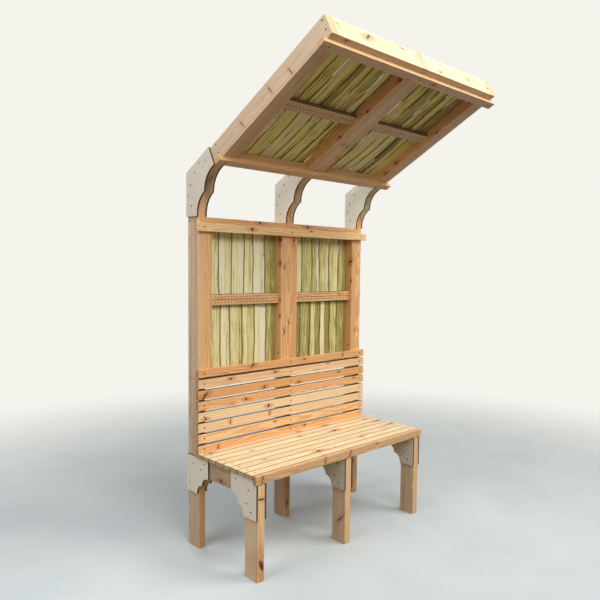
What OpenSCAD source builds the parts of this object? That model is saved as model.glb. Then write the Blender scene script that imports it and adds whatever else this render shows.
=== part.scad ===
// Covered bench of planed softwood: three ribs, a boarded seat and backrest, and four lath panels
// that close the upper back and the sloping roof. Millimetres. +Z is up, the sitter faces -Y, and
// the origin is on the floor under the middle of the bench's overall box.

/* [Framing timber] */
// Thickness of the framing timber, measured across the bench
timber_t = 38; // [34:1:46]
// Depth of the framing timber, measured in the plane of a rib
timber_d = 89; // [80:1:100]
// Radius of the timber's eased edges
timber_ease = 3; // [1:0.5:5]
// Radius of the eased edges of boards and battens
board_ease = 1.5; // [0.5:0.5:3]
// Distance between the centres of neighbouring ribs
rib_pitch = 555.5; // [480:0.5:640]

/* [Seat] */
// Height of the seat's top above the floor
seat_h = 472; // [420:1:520]
// Thickness of the seat and backrest boards and of all battens
board_t = 20; // [16:1:24]
// How far boards run past the outer faces of the outer ribs
board_overhang = 15.5; // [12:0.5:30]
// Width of a seat board
seat_board_w = 46; // [40:1:52]
// Gap between seat boards
seat_gap = 7.5; // [5:0.5:12]
// Height of the battens, which are boards ripped narrower
batten_w = 38; // [34:1:44]
// How far the seat's nosing stands in front of the legs
nosing_proud = 5; // [2:1:9]

/* [Backrest] */
// Width of a backrest board
back_board_w = 43; // [36:1:50]
// Gap between backrest boards
back_gap = 9.5; // [5:0.5:14]
// How far the panel batten's lower edge lies below the top of the back panels
panel_batten_drop = 67; // [50:1:85]

/* [Lath panels] */
// Length of a panel, the same in the back and in the roof
panel_len = 784; // [700:1:860]
// How far the back panels reach down behind the backrest's top edge
panel_lap = 67; // [60:1:90]
// Number of laths side by side in a panel
laths = 12; // [9:1:14]
// Thickness of a lath
lath_t = 4.5; // [3:0.5:6]
// How far each lath runs behind or before its neighbour
lath_lap = 3.5; // [2.5:0.5:5]
// How far the riven edge of a lath swings in its long bends
lath_swing = 1.6; // [0.5:0.1:1.8]
// Depth of the groove in the end rails that takes the laths' ends
groove_depth = 8; // [5:1:14]
// Width of one of the two strips that make a middle rail
strip_w = 26.5; // [20:0.5:36]
// Thickness of a middle rail's strips
strip_t = 20; // [12:1:24]

/* [Roof] */
// Rise of the roof towards the front, in degrees
roof_slope = 28.5; // [22:0.5:36]
// Gap between the roof gussets and the rear edge of the roof panels
roof_panel_gap = 23; // [10:1:60]
// How far the front roof batten sits back from the rafters' ends
front_batten_back = 27; // [5:1:60]
// How far the roof battens run past the outer faces of the outer ribs
roof_overhang = 23; // [15:1:40]

/* [Gusset plates] */
// Thickness of the plywood
ply_t = 9; // [6:0.5:12]
// Radius of each of the two coves on a seat gusset
seat_cove_r = 40; // [30:1:48]
// Straight edge before the first cove and after the last cove of a seat gusset
seat_lead = 9; // [5:1:20]
// Radius of the roof gusset's cove next to the rafter
roof_cove_upper_r = 120; // [90:1:130]
// Radius of the roof gusset's cove next to the post
roof_cove_lower_r = 110; // [80:1:120]
// Straight edge of the roof gusset along the rafter
rafter_lead = 16; // [10:1:40]
// Straight edge of the roof gusset along the post
post_lead = 12; // [6:1:40]
// How far the roof gusset stands above the rafter's top edge
roof_gusset_proud = 3; // [1:1:25]

/* [Screws] */
// Diameter of a countersunk head
screw_head_d = 8; // [7:0.5:9]
// Diameter of a screw
screw_d = 4; // [3:0.5:5]
// Length of the screws in the gusset plates
gusset_screw_len = 24; // [18:1:24]
// Length of the screws in boards and battens
board_screw_len = 40; // [32:1:45]
// Length of the screws through the panels' stiles into the ribs
panel_screw_len = 50; // [46:1:54]
// Length of the screws through the outer ribs and through the panels' end rails
long_screw_len = 60; // [55:1:70]
// How far the outer panel screws lie from the panel's ends
panel_screw_inset = 96; // [70:1:140]

/* [Hidden] */
$fn = 48;

left = -1;
middle = 0;
right = 1;
sides = [left, middle, right];

// Boards have a node each, so their numbers are fixed
seat_boards = 8;
back_boards = 6;

// How far a cutting shape runs past what it cuts
cut = 1;
// Gap around a field of laths, at the ends in the grooves and at the stiles
lath_end_gap = 1;
// Play on each side of the laths in a groove
groove_gap = 0.5;
// Gap between the back panels and the roof gussets
gusset_gap = 2;
// Dry joint between laths of the two layers, and between the strips of a middle rail
dry_gap = 0.3;
// Play between a screw and its hole, and how deep its head is sunk
screw_play = 0.1;
screw_sink = 0.5;
screw_fn = 24;

// Screws of a gusset plate, from the joint's inner corner: [rearward, up] where the two members
// meet square. On the rafter they are [up the slope, out of the roof].
front_screws = [[-56, 64], [34, 34], [22, -27], [51, -59]];
rear_screws = [[-60, 67], [-31, 36], [34, 51], [65, -40]];
post_screws = [[53, -3], [71, -53], [45, -101]];
rafter_screws = [[8, 53], [58, 74], [106, 54]];

// Places across the timber's depth, as shares of it, where the two kinds of long screw pass
outer_places = [0.36, 0.84];
end_places = [0.5, 0.68];

// Seat: the boards and the nosing fill the depth from the posts' front to the nosing's front
seat_under = seat_h - board_t;
post_y = seat_boards * (seat_board_w + seat_gap) + board_t - nosing_proud;
rail_len = post_y - timber_d;
post_back = post_y + timber_d;
nosing_back = board_t - nosing_proud;
nosing_z = seat_h - batten_w;
rail_under = seat_under - timber_d;

// Backrest and back panels
back_step = back_board_w + back_gap;
back_top = seat_h + batten_w + back_boards * back_step + back_gap + batten_w;
panel_z = back_top - panel_lap;
panel_top = panel_z + panel_len;
bay_w = rib_pitch - timber_t;
half_span = rib_pitch + timber_t / 2;
board_len = 2 * (half_span + board_overhang);
roof_batten_len = 2 * (half_span + roof_overhang);

// Knee between post and rafter: both coves turn through the same angle
knee_tan = tan((90 - roof_slope) / 2);
cove_run = (roof_cove_upper_r + roof_cove_lower_r) * knee_tan;
knee_z = panel_top + gusset_gap + post_lead + cove_run;
mitre_rise = timber_d * knee_tan;
rafter_arm = rafter_lead + cove_run;
roof_panel_y = rafter_arm + roof_panel_gap;
rafter_len = roof_panel_y + panel_len;

// Panel section, from the show face inwards: strip, front laths, rear laths, strip
lath_mid = timber_d / 2;
field_w = bay_w - 2 * timber_t;
lath_pitch = field_w / laths;

// Riven laths differ: their lines leave the even pitch by a share of it, and their edges bend in
// long and in short waves. A seed for each field keeps the four fields unlike.
line_drift = 0.27;
long_waves = 0.9;
short_waves = 2.1;
short_swing = 0.9;
edge_steps = 6;
golden_step = 0.618034;
left_back_seed = 0.11;
right_back_seed = 0.37;
left_roof_seed = 0.59;
right_roof_seed = 0.83;

// The overall box is centred front to back on the origin
front_reach = post_y - rafter_len * cos(roof_slope);
centre_y = (post_back + front_reach) / 2;

pine = "BurlyWood";
pale_pine = "Wheat";
ply = "LightGray";
riven = "DarkKhaki";
steel = "DimGray";

module centred() {
    translate([0, -centre_y, 0]) children();
}

module on_rib(side) {
    centred() translate([side * rib_pitch, 0, 0]) children();
}

// Roof frame: its origin is the knee's inner corner, -Y runs up the slope, +Z leaves the roof's top
module on_slope() {
    translate([0, post_y, knee_z]) rotate([-roof_slope, 0, 0]) children();
}

// Rectangle with eased corners of radius r, one corner at the origin
module eased(w, d, r) {
    translate([r, 0]) square([w - 2 * r, d]);
    translate([0, r]) square([w, d - 2 * r]);
    for (x = [r, w - r], y = [r, d - r]) translate([x, y]) circle(r);
}

// Framing timber standing on its end, centred across the bench, its front face at y = 0
module timber(length) {
    translate([-timber_t / 2, 0, 0]) linear_extrude(length) eased(timber_t, timber_d, timber_ease);
}

// Board or batten along the bench, its lower front edge on the X axis
module board(length, depth, height) {
    translate([-length / 2, 0, 0]) rotate([90, 0, 90])
        linear_extrude(length) eased(depth, height, board_ease);
}

// Prism across a rib: an outline in the rib's plane, [y, z], given the thickness t
module across(t) {
    translate([-t / 2, 0, 0]) rotate([90, 0, 90]) linear_extrude(t) children();
}

// Countersunk screw: its axis is Z, it leaves the wood at z = 0 and its tip points down
module screw(length) {
    head = screw_head_d / 2;
    shank = screw_d / 2;
    translate([0, 0, -screw_sink]) rotate_extrude($fn = screw_fn)
        polygon([[0, 0], [head, 0], [shank, shank - head], [shank, 2 * shank - length], [0, -length]]);
}

// The hole it stands in, with play all round
module screw_hole(length) {
    head = screw_head_d / 2 + screw_play;
    shank = screw_d / 2 + screw_play;
    rotate_extrude($fn = screw_fn)
        polygon([[0, cut], [head, cut], [head, -screw_sink], [shank, -screw_sink - head + shank],
            [shank, -length - screw_sink], [0, -length - screw_sink]]);
}

// Where screws stand: each of the next modules puts its child, a screw or a hole, at its places,
// with +Z out of the wood.
module at_plates(places) {
    for (face = [-1, 1], p = places)
        translate([face * (timber_t / 2 + ply_t), p[0], p[1]]) rotate([0, face * 90, 0]) children();
}

module at_front_gussets(side) {
    on_rib(side) translate([0, timber_d, rail_under]) mirror([0, 1, 0]) at_plates(front_screws) children();
}

module at_rear_gussets(side) {
    on_rib(side) translate([0, post_y, rail_under]) at_plates(rear_screws) children();
}

module at_roof_gussets(side) {
    on_rib(side) {
        translate([0, post_y, knee_z]) at_plates(post_screws) children();
        on_slope() mirror([0, 1, 0]) at_plates(rafter_screws) children();
    }
}

module at_seat_board(i, side) {
    on_rib(side) translate([0, board_y(i) + seat_board_w / 2, seat_h]) children();
}

// The nosing's screws are low enough to find the leg behind it
module at_nosing(side) {
    on_rib(side) translate([0, -nosing_proud, (nosing_z + seat_under) / 2]) rotate([90, 0, 0]) children();
}

module at_back(z, side) {
    on_rib(side) translate([0, post_y - board_t, z]) rotate([90, 0, 0]) children();
}

module at_front_roof_batten(side) {
    on_rib(side) on_slope() translate([0, front_batten_back + batten_w / 2 - rafter_len, -board_t])
        rotate([180, 0, 0]) children();
}

module at_rear_roof_batten(side) {
    on_rib(side) on_slope() translate([0, batten_w / 2 - roof_panel_y - timber_t, -board_t])
        rotate([180, 0, 0]) children();
}

module at_all_boards(side) {
    for (i = [1 : seat_boards]) at_seat_board(i, side) children();
    at_nosing(side) children();
    for (z = back_screw_heights) at_back(z, side) children();
    at_front_roof_batten(side) children();
    at_rear_roof_batten(side) children();
}

// On a panel: from the inside of its stiles into the ribs
module at_stiles() {
    heights = [panel_screw_inset, panel_len / 2 + 2 * strip_w, panel_len - panel_screw_inset];
    for (face = [-1, 1], z = heights)
        translate([face * field_w / 2, lath_mid / 2, z]) rotate([0, -face * 90, 0]) children();
}

// On a panel: through the end rails into the ends of the stiles
module at_end_rails() {
    for (end = [0, 1], x = [-1, 1], y = end_places)
        translate([x * (bay_w - timber_t) / 2, y * timber_d, end * panel_len])
            rotate([180 * (1 - end), 0, 0]) children();
}

// On a panel: from the bench's flank, through the outer rib into the ends of the end rails
module at_flank(side) {
    for (z = [timber_t / 2, panel_len - timber_t / 2], y = outer_places)
        translate([side * (bay_w / 2 + timber_t), y * timber_d, z]) rotate([0, side * 90, 0]) children();
}

module nosing_notch() {
    translate([-timber_d, -cut, nosing_z]) cube([2 * timber_d, nosing_back + cut, timber_d]);
}

module front_leg(side) {
    color(pine) difference() {
        on_rib(side) timber(seat_under);
        on_rib(side) nosing_notch();
        at_front_gussets(side) screw_hole(gusset_screw_len);
        at_nosing(side) screw_hole(board_screw_len);
        for (i = [1 : seat_boards]) at_seat_board(i, side) screw_hole(board_screw_len);
    }
}

module seat_rail(side) {
    color(pine) difference() {
        on_rib(side) translate([0, post_y, rail_under]) rotate([90, 0, 0]) timber(rail_len);
        at_front_gussets(side) screw_hole(gusset_screw_len);
        at_rear_gussets(side) screw_hole(gusset_screw_len);
        for (i = [1 : seat_boards]) at_seat_board(i, side) screw_hole(board_screw_len);
    }
}

module post(side) {
    color(pine) difference() {
        on_rib(side) translate([0, post_y, 0]) timber(knee_z + mitre_rise);
        on_rib(side) translate([0, post_y, 0]) across(2 * timber_t)
            polygon([[-timber_d, knee_z - mitre_rise], [2 * timber_d, knee_z + 2 * mitre_rise],
                [-timber_d, knee_z + 2 * mitre_rise]]);
        at_rear_gussets(side) screw_hole(gusset_screw_len);
        at_roof_gussets(side) screw_hole(gusset_screw_len);
        for (z = back_screw_heights) at_back(z, side) screw_hole(board_screw_len);
        for (bay = [left, right]) in_back(bay) {
            at_stiles() screw_hole(panel_screw_len);
            at_flank(bay) screw_hole(long_screw_len);
        }
    }
}

module rafter(side) {
    color(pine) difference() {
        on_rib(side) on_slope() translate([0, mitre_rise, 0]) rotate([90, 0, 0])
            timber(rafter_len + mitre_rise);
        on_rib(side) on_slope() across(2 * timber_t)
            polygon([[0, 0], [mitre_rise, timber_d], [2 * mitre_rise, 2 * timber_d],
                [3 * timber_d, 2 * timber_d], [3 * timber_d, -timber_d], [-mitre_rise, -timber_d]]);
        at_roof_gussets(side) screw_hole(gusset_screw_len);
        at_front_roof_batten(side) screw_hole(board_screw_len);
        at_rear_roof_batten(side) screw_hole(board_screw_len);
        for (bay = [left, right]) in_roof(bay) {
            at_stiles() screw_hole(panel_screw_len);
            at_flank(bay) screw_hole(long_screw_len);
        }
    }
}

// Gusset outline around a joint whose inner corner is the origin. One member hangs down from it,
// the other rises from it towards -Y at the slope. The inner edge is two coves that turn the same way.
module gusset_outline(slope, r_upper, r_lower, lead_upper, lead_lower, proud) {
    turn = tan((90 - slope) / 2);
    along = [-cos(slope), sin(slope)];
    outward = [sin(slope), cos(slope)];
    step = -along - [0, 1];
    arm_upper = lead_upper + (r_upper + r_lower) * turn;
    arm_lower = lead_lower + (r_upper + r_lower) * turn;
    deep = timber_d + proud;
    start = (arm_upper - lead_upper) * along;
    nose = start + r_upper * turn * step;
    corner = ((deep * sin(slope) - timber_d) / cos(slope)) * along + deep * outward;
    difference() {
        polygon([[0, -arm_lower], [timber_d, -arm_lower], corner, arm_upper * along + deep * outward,
            arm_upper * along, start, nose, nose + r_lower * turn * step]);
        translate(start - r_upper * outward) circle(r_upper);
        translate(nose - r_lower * outward) circle(r_lower);
    }
}

// Two plates, one on each face of the rib
module plate_pair() {
    for (face = [-1, 1])
        translate([face * (timber_t + ply_t) / 2, 0, 0]) across(ply_t) children();
}

module seat_gusset_outline() {
    gusset_outline(0, seat_cove_r, seat_cove_r, seat_lead, seat_lead, 0);
}

module front_gussets(side) {
    color(ply) difference() {
        on_rib(side) translate([0, timber_d, rail_under]) plate_pair() mirror([1, 0]) seat_gusset_outline();
        on_rib(side) nosing_notch();
        at_front_gussets(side) screw_hole(gusset_screw_len);
    }
}

module rear_gussets(side) {
    color(ply) difference() {
        on_rib(side) translate([0, post_y, rail_under]) plate_pair() seat_gusset_outline();
        at_rear_gussets(side) screw_hole(gusset_screw_len);
    }
}

module roof_gussets(side) {
    color(ply) difference() {
        on_rib(side) translate([0, post_y, knee_z]) plate_pair()
            gusset_outline(roof_slope, roof_cove_upper_r, roof_cove_lower_r,
                rafter_lead, post_lead, roof_gusset_proud);
        at_roof_gussets(side) screw_hole(gusset_screw_len);
    }
}

// Seat boards are numbered from the front
function board_y(i) = nosing_back + seat_gap + (i - 1) * (seat_board_w + seat_gap);

module seat_board(i) {
    color(pale_pine) difference() {
        centred() translate([0, board_y(i), seat_under]) board(board_len, seat_board_w, board_t);
        for (side = sides) at_seat_board(i, side) screw_hole(board_screw_len);
    }
}

module seat_nosing() {
    color(pale_pine) difference() {
        centred() translate([0, -nosing_proud, nosing_z]) board(board_len, board_t, batten_w);
        for (side = sides) at_nosing(side) screw_hole(board_screw_len);
    }
}

// Everything in the backrest's plane, at a height, with a screw in each post
module back_piece(z, height, length) {
    color(pale_pine) difference() {
        centred() translate([0, post_y - board_t, z]) board(length, board_t, height);
        for (side = sides) at_back(z + height / 2, side) screw_hole(board_screw_len);
    }
}

module back_base_batten() {
    back_piece(seat_h, batten_w, board_len);
}

// Backrest boards are numbered from the bottom
function back_board_z(i) = seat_h + batten_w + back_gap + (i - 1) * back_step;

module back_board(i) {
    back_piece(back_board_z(i), back_board_w, board_len);
}

module back_top_batten() {
    back_piece(back_top - batten_w, batten_w, board_len);
}

module panel_batten() {
    back_piece(panel_top - panel_batten_drop, batten_w, roof_batten_len);
}

back_screw_heights = concat(
    [seat_h + batten_w / 2, back_top - batten_w / 2, panel_top - panel_batten_drop + batten_w / 2],
    [for (i = [1 : back_boards]) back_board_z(i) + back_board_w / 2]);

// Under the rear rails of the roof panels, flat
module roof_rear_batten() {
    color(pale_pine) difference() {
        centred() on_slope() translate([0, -roof_panel_y - timber_t, -board_t])
            board(roof_batten_len, batten_w, board_t);
        for (side = sides) at_rear_roof_batten(side) screw_hole(board_screw_len);
    }
}

// Under the rafters' front ends, laid flat
module roof_front_batten() {
    color(pale_pine) difference() {
        centred() on_slope() translate([0, front_batten_back - rafter_len, -board_t])
            board(roof_batten_len, batten_w, board_t);
        for (side = sides) at_front_roof_batten(side) screw_hole(board_screw_len);
    }
}

// Panel frame: X across the bay from its centre, +Y inwards from the show face, +Z along the panel
module in_back(side) {
    centred() translate([side * rib_pitch / 2, post_y, panel_z]) children();
}

module in_roof(side) {
    centred() on_slope() translate([side * rib_pitch / 2, -roof_panel_y, 0]) rotate([90, 0, 0]) children();
}

module stiles() {
    difference() {
        for (x = [-1, 1])
            translate([x * (bay_w - timber_t) / 2, 0, timber_t]) timber(panel_len - 2 * timber_t);
        at_stiles() screw_hole(panel_screw_len);
        at_end_rails() screw_hole(long_screw_len);
    }
}

// End rails run the full width of the bay, grooved on the inside for the laths' ends
module end_rails(side) {
    difference() {
        for (end = [0, 1]) translate([0, 0, end * panel_len]) mirror([0, 0, end]) difference() {
            translate([-bay_w / 2, 0, timber_t / 2]) rotate([0, 90, 0]) timber(bay_w);
            translate([-field_w / 2, lath_mid - lath_t - groove_gap, timber_t - groove_depth])
                cube([field_w, 2 * (lath_t + groove_gap), groove_depth + cut]);
        }
        at_end_rails() screw_hole(long_screw_len);
        at_flank(side) screw_hole(long_screw_len);
    }
}

// Middle rail: two strips in front of the laths and two behind
module strips() {
    layers = lath_t + dry_gap / 2;
    for (y = [lath_mid - layers - strip_t, lath_mid + layers], z = [-strip_w - dry_gap / 2, dry_gap / 2])
        translate([-field_w / 2, y, panel_len / 2 + z]) cube([field_w, strip_t, strip_w]);
}

function fraction(x) = x - floor(x);

// Steady scatter between -1 and 1: steps of the golden ratio, so that neighbours differ
function scatter(i, seed) = 2 * fraction((i + 1) * golden_step + seed) - 1;

// Line between lath i - 1 and lath i
function lath_line(i, seed) = lath_pitch * (i + line_drift * scatter(i, seed)) - field_w / 2;

// Sideways swing of edge n at the share f of its length
function wander(f, n, seed) =
    lath_swing * sin(360 * (long_waves * f + scatter(3 * n, seed)))
    + short_swing * sin(360 * (short_waves * f + scatter(5 * n, seed)));

// Lower (side -1) or upper (side 1) edge of lath i. The field's own edges are cut straight.
function lath_edge(f, i, side, seed) =
    let (line = i + (side + 1) / 2)
    line == 0 || line == laths ? side * (field_w / 2 - lath_end_gap)
    : lath_line(line, seed) + side * lath_lap + wander(f, i + line, seed);

// A lath runs from the groove in an end rail to the middle rail, where the strips clamp its end
module lath(i, seed) {
    bottom = timber_t - groove_depth + lath_end_gap;
    run = (panel_len - dry_gap) / 2 - bottom;
    up = [for (k = [0 : edge_steps]) k / edge_steps];
    down = [for (k = [edge_steps : -1 : 0]) k / edge_steps];
    polygon(concat(
        [for (f = up) [lath_edge(f, i, -1, seed), bottom + run * f]],
        [for (f = down) [lath_edge(f, i, 1, seed), bottom + run * f]]));
}

// Two sets of laths, one on each side of the middle rail. They lie alternately in front of and
// behind the panel's middle plane.
module lath_field(seed) {
    for (end = [0, 1], i = [0 : laths - 1])
        translate([0, lath_mid + (i % 2 == 0 ? -dry_gap / 2 : lath_t + dry_gap / 2), end * panel_len])
            mirror([0, 0, end]) rotate([90, 0, 0]) linear_extrude(lath_t) lath(i, seed + end / 2);
}

module gusset_screws() {
    color(steel) for (side = sides) {
        at_front_gussets(side) screw(gusset_screw_len);
        at_rear_gussets(side) screw(gusset_screw_len);
        at_roof_gussets(side) screw(gusset_screw_len);
    }
}

module board_screws() {
    color(steel) for (side = sides) at_all_boards(side) screw(board_screw_len);
}

module panel_screws() {
    color(steel) for (bay = [left, right]) {
        in_back(bay) panel_screw_set(bay);
        in_roof(bay) panel_screw_set(bay);
    }
}

module panel_screw_set(side) {
    at_stiles() screw(panel_screw_len);
    at_end_rails() screw(long_screw_len);
    at_flank(side) screw(long_screw_len);
}

front_leg(left);  // left_front_leg
front_leg(middle);  // middle_front_leg
front_leg(right);  // right_front_leg
post(left);  // left_post
post(middle);  // middle_post
post(right);  // right_post
seat_rail(left);  // left_seat_rail
seat_rail(middle);  // middle_seat_rail
seat_rail(right);  // right_seat_rail
rafter(left);  // left_rafter
rafter(middle);  // middle_rafter
rafter(right);  // right_rafter
front_gussets(left);  // left_front_gussets
front_gussets(middle);  // middle_front_gussets
front_gussets(right);  // right_front_gussets
rear_gussets(left);  // left_rear_gussets
rear_gussets(middle);  // middle_rear_gussets
rear_gussets(right);  // right_rear_gussets
roof_gussets(left);  // left_roof_gussets
roof_gussets(middle);  // middle_roof_gussets
roof_gussets(right);  // right_roof_gussets
seat_board(1);  // seat_board_1
seat_board(2);  // seat_board_2
seat_board(3);  // seat_board_3
seat_board(4);  // seat_board_4
seat_board(5);  // seat_board_5
seat_board(6);  // seat_board_6
seat_board(7);  // seat_board_7
seat_board(8);  // seat_board_8
seat_nosing();
back_base_batten();
back_board(1);  // back_board_1
back_board(2);  // back_board_2
back_board(3);  // back_board_3
back_board(4);  // back_board_4
back_board(5);  // back_board_5
back_board(6);  // back_board_6
back_top_batten();
panel_batten();
roof_rear_batten();
roof_front_batten();
color(pine) in_back(left) stiles();  // left_back_stiles
color(pine) in_back(left) end_rails(left);  // left_back_rails
color(pine) in_back(left) strips();  // left_back_strips
color(riven) in_back(left) lath_field(left_back_seed);  // left_back_laths
color(pine) in_back(right) stiles();  // right_back_stiles
color(pine) in_back(right) end_rails(right);  // right_back_rails
color(pine) in_back(right) strips();  // right_back_strips
color(riven) in_back(right) lath_field(right_back_seed);  // right_back_laths
color(pine) in_roof(left) stiles();  // left_roof_stiles
color(pine) in_roof(left) end_rails(left);  // left_roof_rails
color(pine) in_roof(left) strips();  // left_roof_strips
color(riven) in_roof(left) lath_field(left_roof_seed);  // left_roof_laths
color(pine) in_roof(right) stiles();  // right_roof_stiles
color(pine) in_roof(right) end_rails(right);  // right_roof_rails
color(pine) in_roof(right) strips();  // right_roof_strips
color(riven) in_roof(right) lath_field(right_roof_seed);  // right_roof_laths
gusset_screws();
board_screws();
panel_screws();
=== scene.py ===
# %% [markdown]
# # Covered bench with riven lath panels
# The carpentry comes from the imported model: every post, rail, board and screw is at its place. This script
# adds what shows close up: the grain, knots and end grain of the softwood, the layers and scorched edges of
# the plywood, the riven laths with their torn edges, and the nails in the middle rails.

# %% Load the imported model
from math import cos, pi, radians, sin

import bpy
import numpy as np
from mathutils import Matrix, Vector


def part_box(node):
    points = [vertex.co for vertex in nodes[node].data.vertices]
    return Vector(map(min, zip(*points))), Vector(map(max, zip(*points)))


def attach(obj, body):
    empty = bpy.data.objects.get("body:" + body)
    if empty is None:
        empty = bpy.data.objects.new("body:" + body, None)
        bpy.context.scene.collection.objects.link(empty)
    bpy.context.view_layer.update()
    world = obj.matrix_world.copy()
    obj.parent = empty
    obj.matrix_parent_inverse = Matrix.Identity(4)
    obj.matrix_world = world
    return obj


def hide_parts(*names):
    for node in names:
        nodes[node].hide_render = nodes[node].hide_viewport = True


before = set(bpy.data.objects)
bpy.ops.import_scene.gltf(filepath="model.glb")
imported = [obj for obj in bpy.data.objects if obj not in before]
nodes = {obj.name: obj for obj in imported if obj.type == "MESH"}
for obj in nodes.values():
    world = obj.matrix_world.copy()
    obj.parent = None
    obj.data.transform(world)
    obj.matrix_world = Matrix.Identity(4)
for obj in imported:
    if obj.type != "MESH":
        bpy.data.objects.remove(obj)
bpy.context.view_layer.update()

# %% [markdown]
# ## Camera
# The photograph was taken from the front left, at about eye height. A camera can be aimed with a
# constraint, but yaw, pitch and roll as plain numbers could be fitted to the corners of the timbers. The
# eye is placed from the front left leg's outer front corner on the floor, so it stays right if the bench's
# depth changes.

# %% Camera
FOCAL_PX = 612.8
IMAGE_PX = 600
SENSOR_MM = 36.0
YAW, PITCH, ROLL = 0.7593, 0.0685, 0.0103
CENTRE_ROW_PX = 310.2
EYE_FROM_CORNER = (-1.6292, -1.9644, 1.3550)
eye = Vector(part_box("left_front_leg")[0]) + Vector(EYE_FROM_CORNER)


def add_object(name, data):
    """Puts a new object with its data into the scene."""
    new_object = bpy.data.objects.new(name, data)
    bpy.context.scene.collection.objects.link(new_object)
    return new_object


ahead = Vector((sin(YAW) * cos(PITCH), cos(YAW) * cos(PITCH), -sin(PITCH)))
level = Vector((cos(YAW), -sin(YAW), 0.0))
upright = level.cross(ahead)
side = level * cos(ROLL) + upright * sin(ROLL)
top = upright * cos(ROLL) - level * sin(ROLL)

camera_data = bpy.data.cameras.new("camera")
camera_data.sensor_width = SENSOR_MM
camera_data.lens = FOCAL_PX / IMAGE_PX * SENSOR_MM
camera_data.shift_y = (CENTRE_ROW_PX - IMAGE_PX / 2) / IMAGE_PX
camera = add_object("camera", camera_data)
turn = Matrix((side, top, -ahead)).transposed().to_4x4()
camera.matrix_world = Matrix.Translation(eye) @ turn
bpy.context.scene.camera = camera
print("camera", round(camera_data.lens, 2), "mm at", [round(v, 3) for v in eye])

# %% [markdown]
# ## Shader arithmetic
# A pattern such as growth rings is a formula. Written as a chain of nodes it is hard to read, so a small
# class wraps a socket and turns each Python operator into its Math node. One method adds every other
# kind of node. Colours are given as display values from 0 to 255 and are turned into linear light.

# %% A socket that takes part in arithmetic
class Value:
    """One number, vector or colour that varies over a surface."""

    def __init__(self, finish, socket):
        self.finish = finish
        self.socket = socket

    def math(self, operation, *others):
        return self.finish.node("ShaderNodeMath", {"operation": operation}, dict(enumerate((self, *others))))

    def __add__(self, other): return self.math("ADD", other)
    def __mul__(self, other): return self.math("MULTIPLY", other)
    def __sub__(self, other): return self.math("SUBTRACT", other)
    def __truediv__(self, other): return self.math("DIVIDE", other)
    __radd__ = __add__
    __rmul__ = __mul__

    def __rsub__(self, other):
        return self.finish.node("ShaderNodeMath", {"operation": "SUBTRACT"}, {0: other, 1: self})

    def vector(self, operation, other, output=0):
        return self.finish.node("ShaderNodeVectorMath", {"operation": operation}, {0: self, 1: other}, output)

    def parts(self):
        return [self.finish.node("ShaderNodeSeparateXYZ", {}, {0: self}, i) for i in range(3)]

    def step(self, low, high):
        """0 below low, 1 above high, smooth between; high may be the lower of the two."""
        return self.finish.node("ShaderNodeMapRange", {"interpolation_type": "SMOOTHSTEP"},
                                {0: self, 1: low, 2: high})


print("sockets take part in arithmetic")

# %% A material under construction
def colour(red, green, blue):
    """Display values 0..255 to linear light: ((v + 0.055) / 1.055) to the power 2.4."""
    v = np.array([red, green, blue]) / 255.0
    linear = np.where(v <= 0.04045, v / 12.92, ((v + 0.055) / 1.055) ** 2.4)
    return (*(float(c) for c in linear), 1.0)


class Finish:
    """A material, or another owner of a node tree, whose nodes are added one by one."""

    def __init__(self, name, owner=None):
        self.owner = owner or bpy.data.materials.new(name)
        self.owner.use_nodes = True
        self.tree = self.owner.node_tree
        self.tree.nodes.clear()

    def node(self, kind, settings, inputs, output=0):
        """Adds a node: its settings first, then each socket's link or number."""
        made = self.tree.nodes.new(kind)
        for key, setting in settings.items():
            setattr(made, key, setting)
        for key, given in inputs.items():
            if isinstance(given, Value):
                self.tree.links.new(given.socket, made.inputs[key])
            else:
                made.inputs[key].default_value = given
        return Value(self, made.outputs[output]) if made.outputs else None

    def place(self):
        return self.node("ShaderNodeTexCoord", {}, {}, "Object")

    def noise(self, where, detail=3.0, roughness=0.5):
        """Fractal noise about 0.5 with features about one unit wide."""
        return self.node("ShaderNodeTexNoise", {}, {"Vector": where, "Scale": 1.0, "Detail": detail,
                                                    "Roughness": roughness})

    def grainy(self, where, along, across, detail=3.0, roughness=0.5):
        """Noise that changes about so many times per unit along the grain and across it."""
        return self.noise(where.vector("MULTIPLY", (along, across, across)), detail, roughness)

    def blend(self, first, second, share):
        """First where share is 0, second where it is 1."""
        return self.node("ShaderNodeMix", {"data_type": "RGBA"}, {0: share, 6: first, 7: second}, 2)

    def shade(self, base, factor):
        """Multiplies a colour by a number that varies over the surface."""
        return self.node("ShaderNodeVectorMath", {"operation": "SCALE"}, {0: base, "Scale": factor})

    def close(self, base, roughness, height, depth, **plain):
        """Ends in a Principled shader; height, in units of depth metres, feeds a Bump node."""
        bump = self.node("ShaderNodeBump", {}, {"Strength": 1.0, "Distance": depth, "Height": height})
        shader = self.node("ShaderNodeBsdfPrincipled", {},
                           {"Base Color": base, "Roughness": roughness, "Normal": bump, **plain})
        self.node("ShaderNodeOutputMaterial", {}, {"Surface": shader})
        return self.owner


print("display value 188 is", round(colour(188, 188, 188)[0], 2), "of full light")

# %% [markdown]
# ## Where a timber lies
# Grain needs a direction. A uv map could give one, but each face would need its own. Instead each node gets
# a frame with its first axis along the grain, and its pattern is worked out in that frame. The roof's
# timbers use the same frames, turned by the roof's slope.

# %% Frames along the grain
ROOF_SLOPE = radians(28.5)
ALONG = {"x": Matrix.Identity(3), "y": Matrix.Rotation(pi / 2, 3, "Z"),
         "z": Matrix.Rotation(-pi / 2, 3, "Y")}
ROOF = Matrix.Rotation(-ROOF_SLOPE, 3, "X")


def corners_of(name):
    """A node's vertices in the row's frame, as an n by 3 array in metres."""
    mesh = nodes[name].data
    flat = np.empty(len(mesh.vertices) * 3)
    mesh.vertices.foreach_get("co", flat)
    return flat.reshape(-1, 3)


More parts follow.
